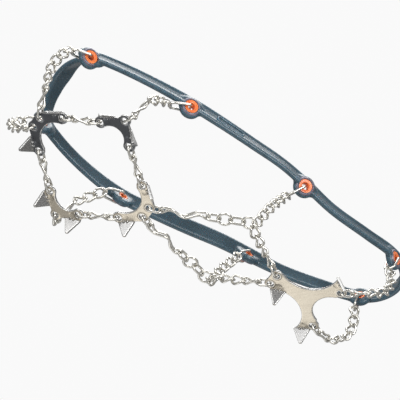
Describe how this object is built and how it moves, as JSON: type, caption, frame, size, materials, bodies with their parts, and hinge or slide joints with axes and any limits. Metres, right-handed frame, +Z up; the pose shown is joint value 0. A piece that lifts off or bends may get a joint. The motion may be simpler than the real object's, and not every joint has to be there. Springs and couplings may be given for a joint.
{
  "type": "shoe ice cleats",
  "caption": "Slip-on ice cleats: an elastic harness that grips a shoe, with chains down to toothed steel plates joined by rings and links under the sole.",
  "frame": {"origin": "middle of the shoe's width, at the height of the heel plate's top face, 88 mm in front of the middle of that plate", "axes": "+X towards the toe, +Y to the left of the shoe, +Z up out of the sole"},
  "size_m": [0.3019, 0.1224, 0.0978],
  "materials": {
    "harness": "glossy slate blue moulded elastomer",
    "eyelet": "orange moulded plastic",
    "wire": "tumbled bright stainless wire",
    "dark_plate": "satin stainless sheet, darker",
    "pale_plate": "satin stainless sheet"
  },
  "bodies": {
    "harness": {"harness": "harness", "toe_eyelet_left": "eyelet", "ball_eyelet_left": "eyelet", "arch_eyelet_left": "eyelet", "heel_eyelet_left": "eyelet", "toe_eyelet_right": "eyelet", "ball_eyelet_right": "eyelet", "arch_eyelet_right": "eyelet", "heel_eyelet_right": "eyelet"},
    "toe_chain_left": {"toe_chain_left": "wire"},
    "toe_hook_left": {"toe_hook_left": "wire"},
    "toe_chain_right": {"toe_chain_right": "wire"},
    "toe_hook_right": {"toe_hook_right": "wire"},
    "ball_chain_left": {"ball_chain_left": "wire"},
    "ball_hook_left": {"ball_hook_left": "wire"},
    "ball_chain_right": {"ball_chain_right": "wire"},
    "ball_hook_right": {"ball_hook_right": "wire"},
    "arch_chain_left": {"arch_chain_left": "wire"},
    "arch_hook_left": {"arch_hook_left": "wire"},
    "arch_chain_right": {"arch_chain_right": "wire"},
    "arch_hook_right": {"arch_hook_right": "wire"},
    "heel_chain_left": {"heel_chain_left": "wire"},
    "heel_hook_left": {"heel_hook_left": "wire"},
    "heel_chain_right": {"heel_chain_right": "wire"},
    "heel_hook_right": {"heel_hook_right": "wire"},
    "toe_plate": {"toe_plate": "dark_plate", "front_tie_inner_ring_left": "wire", "front_tie_inner_ring_right": "wire"},
    "midfoot_plate": {"midfoot_plate": "pale_plate", "rear_tie_inner_ring_left": "wire", "rear_tie_inner_ring_right": "wire", "midfoot_ring_left": "wire", "midfoot_ring_right": "wire"},
    "heel_plate": {"heel_plate": "pale_plate"},
    "ball_plate_left": {"ball_plate_left": "dark_plate", "front_tie_outer_ring_left": "wire", "rear_tie_outer_ring_left": "wire"},
    "ball_plate_right": {"ball_plate_right": "pale_plate", "front_tie_outer_ring_right": "wire", "rear_tie_outer_ring_right": "wire"},
    "front_tie_left": {"front_tie_left": "wire"},
    "front_tie_right": {"front_tie_right": "wire"},
    "rear_tie_left": {"rear_tie_left": "wire"},
    "rear_tie_right": {"rear_tie_right": "wire"},
    "arch_rear_left": {"arch_joint_left": "wire", "arch_heel_chain_left": "wire"},
    "arch_wave_left": {"arch_wave_left": "wire"},
    "arch_joint_link_left": {"arch_joint_link_left": "wire"},
    "arch_ring_left": {"arch_ring_left": "wire"},
    "arch_wave_link_left": {"arch_wave_link_left": "wire"},
    "arch_rear_right": {"arch_joint_right": "wire", "arch_heel_chain_right": "wire"},
    "arch_wave_right": {"arch_wave_right": "wire"},
    "arch_joint_link_right": {"arch_joint_link_right": "wire"},
    "arch_ring_right": {"arch_ring_right": "wire"},
    "arch_wave_link_right": {"arch_wave_link_right": "wire"}
  },
  "joints": [
    {"name": "toe_chain_swing_left", "type": "hinge", "parent": "harness", "child": "toe_chain_left", "pos_m": [0.13279, 0.03841, 0.05997], "axis": [-0.0521, -0.6546, -0.7541], "range_deg": [-14, 14]},
    {"name": "toe_hook_swing_left", "type": "hinge", "parent": "harness", "child": "toe_hook_left", "pos_m": [0.11929, 0.03691, 0.06357], "axis": [-0.1716, 0.9539, -0.2461], "range_deg": [-3.5, 3.5]},
    {"name": "toe_chain_swing_right", "type": "hinge", "parent": "harness", "child": "toe_chain_right", "pos_m": [0.13279, -0.03841, 0.05997], "axis": [-0.0521, 0.6546, -0.7541], "range_deg": [-14, 14]},
    {"name": "toe_hook_swing_right", "type": "hinge", "parent": "harness", "child": "toe_hook_right", "pos_m": [0.11929, -0.03691, 0.06357], "axis": [-0.1716, -0.9539, -0.2461], "range_deg": [-3.5, 3.5]},
    {"name": "ball_chain_swing_left", "type": "hinge", "parent": "harness", "child": "ball_chain_left", "pos_m": [0.05815, 0.049, 0.04828], "axis": [0.5265, 0.0632, -0.8478], "range_deg": [-10, 10]},
    {"name": "ball_hook_swing_left", "type": "hinge", "parent": "harness", "child": "ball_hook_left", "pos_m": [0.04375, 0.051, 0.05358], "axis": [0.0236, 0.9549, -0.2961], "range_deg": [-2.5, 2.5]},
    {"name": "ball_chain_swing_right", "type": "hinge", "parent": "harness", "child": "ball_chain_right", "pos_m": [0.05815, -0.049, 0.04828], "axis": [0.5265, -0.0632, -0.8478], "range_deg": [-10, 10]},
    {"name": "ball_hook_swing_right", "type": "hinge", "parent": "harness", "child": "ball_hook_right", "pos_m": [0.04375, -0.051, 0.05358], "axis": [0.0236, -0.9549, -0.2961], "range_deg": [-2.5, 2.5]},
    {"name": "arch_chain_swing_left", "type": "hinge", "parent": "harness", "child": "arch_chain_left", "pos_m": [-0.0462, 0.03495, 0.04245], "axis": [0.3529, -0.0315, -0.9351], "range_deg": [-10, 10]},
    {"name": "arch_hook_swing_left", "type": "hinge", "parent": "harness", "child": "arch_hook_left", "pos_m": [-0.0546, 0.04045, 0.05315], "axis": [0.0011, 0.8897, -0.4565], "range_deg": [-2.5, 2.5]},
    {"name": "arch_chain_swing_right", "type": "hinge", "parent": "harness", "child": "arch_chain_right", "pos_m": [-0.0462, -0.03495, 0.04245], "axis": [0.3529, 0.0315, -0.9351], "range_deg": [-10, 10]},
    {"name": "arch_hook_swing_right", "type": "hinge", "parent": "harness", "child": "arch_hook_right", "pos_m": [-0.0546, -0.04045, 0.05315], "axis": [0.0011, -0.8897, -0.4565], "range_deg": [-2.5, 2.5]},
    {"name": "heel_chain_swing_left", "type": "hinge", "parent": "harness", "child": "heel_chain_left", "pos_m": [-0.13684, 0.02402, 0.04116], "axis": [0.566, -0.0935, -0.819], "range_deg": [-12, 12]},
    {"name": "heel_hook_swing_left", "type": "hinge", "parent": "harness", "child": "heel_hook_left", "pos_m": [-0.13864, 0.02272, 0.05406], "axis": [-0.505, 0.863, 0.0165], "range_deg": [-3, 3]},
    {"name": "heel_chain_swing_right", "type": "hinge", "parent": "harness", "child": "heel_chain_right", "pos_m": [-0.13684, -0.02402, 0.04116], "axis": [0.566, 0.0935, -0.819], "range_deg": [-12, 12]},
    {"name": "heel_hook_swing_right", "type": "hinge", "parent": "harness", "child": "heel_hook_right", "pos_m": [-0.13864, -0.02272, 0.05406], "axis": [-0.505, -0.863, 0.0165], "range_deg": [-3, 3]},
    {"name": "toe_plate_rock", "type": "hinge", "parent": "harness", "child": "toe_plate", "pos_m": [0.13012, 0, 0.02125], "axis": [0, 1, 0], "range_deg": [-3, 3]},
    {"name": "midfoot_plate_rock", "type": "hinge", "parent": "harness", "child": "midfoot_plate", "pos_m": [0.04963, 0, -0.00347], "axis": [0, 1, 0], "range_deg": [-3, 3]},
    {"name": "heel_plate_roll", "type": "hinge", "parent": "harness", "child": "heel_plate", "pos_m": [-0.088, 0, -0.001], "axis": [1, 0, 0], "range_deg": [-2.4, 2.4]},
    {"name": "ball_plate_roll_left", "type": "hinge", "parent": "harness", "child": "ball_plate_left", "pos_m": [0.08448, 0.03816, 0.00544], "axis": [0.9613, 0, 0.2756], "range_deg": [-2.5, 2.5]},
    {"name": "ball_plate_roll_right", "type": "hinge", "parent": "harness", "child": "ball_plate_right", "pos_m": [0.08448, -0.03816, 0.00544], "axis": [0.9613, 0, 0.2756], "range_deg": [-2.5, 2.5]},
    {"name": "front_tie_twist_left", "type": "hinge", "parent": "harness", "child": "front_tie_left", "pos_m": [0.10733, 0.02793, 0.01306], "axis": [-0.6976, 0.6641, -0.269], "range_deg": [-20, 20]},
    {"name": "front_tie_twist_right", "type": "hinge", "parent": "harness", "child": "front_tie_right", "pos_m": [0.10733, -0.02793, 0.01306], "axis": [-0.6976, -0.6641, -0.269], "range_deg": [-20, 20]},
    {"name": "rear_tie_twist_left", "type": "hinge", "parent": "harness", "child": "rear_tie_left", "pos_m": [0.061, 0.02793, -0.00075], "axis": [0.7317, 0.6587, 0.175], "range_deg": [-20, 20]},
    {"name": "rear_tie_twist_right", "type": "hinge", "parent": "harness", "child": "rear_tie_right", "pos_m": [0.061, -0.02793, -0.00075], "axis": [0.7317, -0.6587, 0.175], "range_deg": [-20, 20]},
    {"name": "arch_rear_twist_left", "type": "hinge", "parent": "harness", "child": "arch_rear_left", "pos_m": [-0.0265, 0.0312, 0.0016], "axis": [-0.8166, -0.5744, -0.0557], "range_deg": [-4, 4]},
    {"name": "arch_wave_twist_left", "type": "hinge", "parent": "harness", "child": "arch_wave_left", "pos_m": [-0.02456, 0.03039, 0.0016], "axis": [0.9192, -0.3821, -0.0955], "range_deg": [-10, 10]},
    {"name": "arch_joint_link_twist_left", "type": "hinge", "parent": "harness", "child": "arch_joint_link_left", "pos_m": [-0.02456, 0.03039, 0.0016], "axis": [0.9192, -0.3821, -0.0955], "range_deg": [-10, 10]},
    {"name": "arch_ring_twist_left", "type": "hinge", "parent": "harness", "child": "arch_ring_left", "pos_m": [-0.02456, 0.03039, 0.0016], "axis": [0.9192, -0.3821, -0.0955], "range_deg": [-10, 10]},
    {"name": "arch_wave_link_twist_left", "type": "hinge", "parent": "harness", "child": "arch_wave_link_left", "pos_m": [-0.02456, 0.03039, 0.0016], "axis": [0.9192, -0.3821, -0.0955], "range_deg": [-10, 10]},
    {"name": "arch_rear_twist_right", "type": "hinge", "parent": "harness", "child": "arch_rear_right", "pos_m": [-0.0265, -0.0312, 0.0016], "axis": [-0.8166, 0.5744, -0.0557], "range_deg": [-4, 4]},
    {"name": "arch_wave_twist_right", "type": "hinge", "parent": "harness", "child": "arch_wave_right", "pos_m": [-0.02456, -0.03039, 0.0016], "axis": [0.9192, 0.3821, -0.0955], "range_deg": [-10, 10]},
    {"name": "arch_joint_link_twist_right", "type": "hinge", "parent": "harness", "child": "arch_joint_link_right", "pos_m": [-0.02456, -0.03039, 0.0016], "axis": [0.9192, 0.3821, -0.0955], "range_deg": [-10, 10]},
    {"name": "arch_ring_twist_right", "type": "hinge", "parent": "harness", "child": "arch_ring_right", "pos_m": [-0.02456, -0.03039, 0.0016], "axis": [0.9192, 0.3821, -0.0955], "range_deg": [-10, 10]},
    {"name": "arch_wave_link_twist_right", "type": "hinge", "parent": "harness", "child": "arch_wave_link_right", "pos_m": [-0.02456, -0.03039, 0.0016], "axis": [0.9192, 0.3821, -0.0955], "range_deg": [-10, 10]}
  ],
  "couplings": [
    {"joint": "toe_hook_swing_left", "follows": "toe_chain_swing_left", "ratio": 0.25},
    {"joint": "toe_hook_swing_right", "follows": "toe_chain_swing_right", "ratio": 0.25},
    {"joint": "ball_hook_swing_left", "follows": "ball_chain_swing_left", "ratio": 0.25},
    {"joint": "ball_hook_swing_right", "follows": "ball_chain_swing_right", "ratio": 0.25},
    {"joint": "arch_hook_swing_left", "follows": "arch_chain_swing_left", "ratio": 0.25},
    {"joint": "arch_hook_swing_right", "follows": "arch_chain_swing_right", "ratio": 0.25},
    {"joint": "heel_hook_swing_left", "follows": "heel_chain_swing_left", "ratio": 0.25},
    {"joint": "heel_hook_swing_right", "follows": "heel_chain_swing_right", "ratio": 0.25},
    {"joint": "arch_joint_link_twist_left", "follows": "arch_wave_twist_left", "ratio": 1},
    {"joint": "arch_ring_twist_left", "follows": "arch_wave_twist_left", "ratio": 1},
    {"joint": "arch_wave_link_twist_left", "follows": "arch_wave_twist_left", "ratio": 1},
    {"joint": "arch_joint_link_twist_right", "follows": "arch_wave_twist_right", "ratio": 1},
    {"joint": "arch_ring_twist_right", "follows": "arch_wave_twist_right", "ratio": 1},
    {"joint": "arch_wave_link_twist_right", "follows": "arch_wave_twist_right", "ratio": 1}
  ]
}
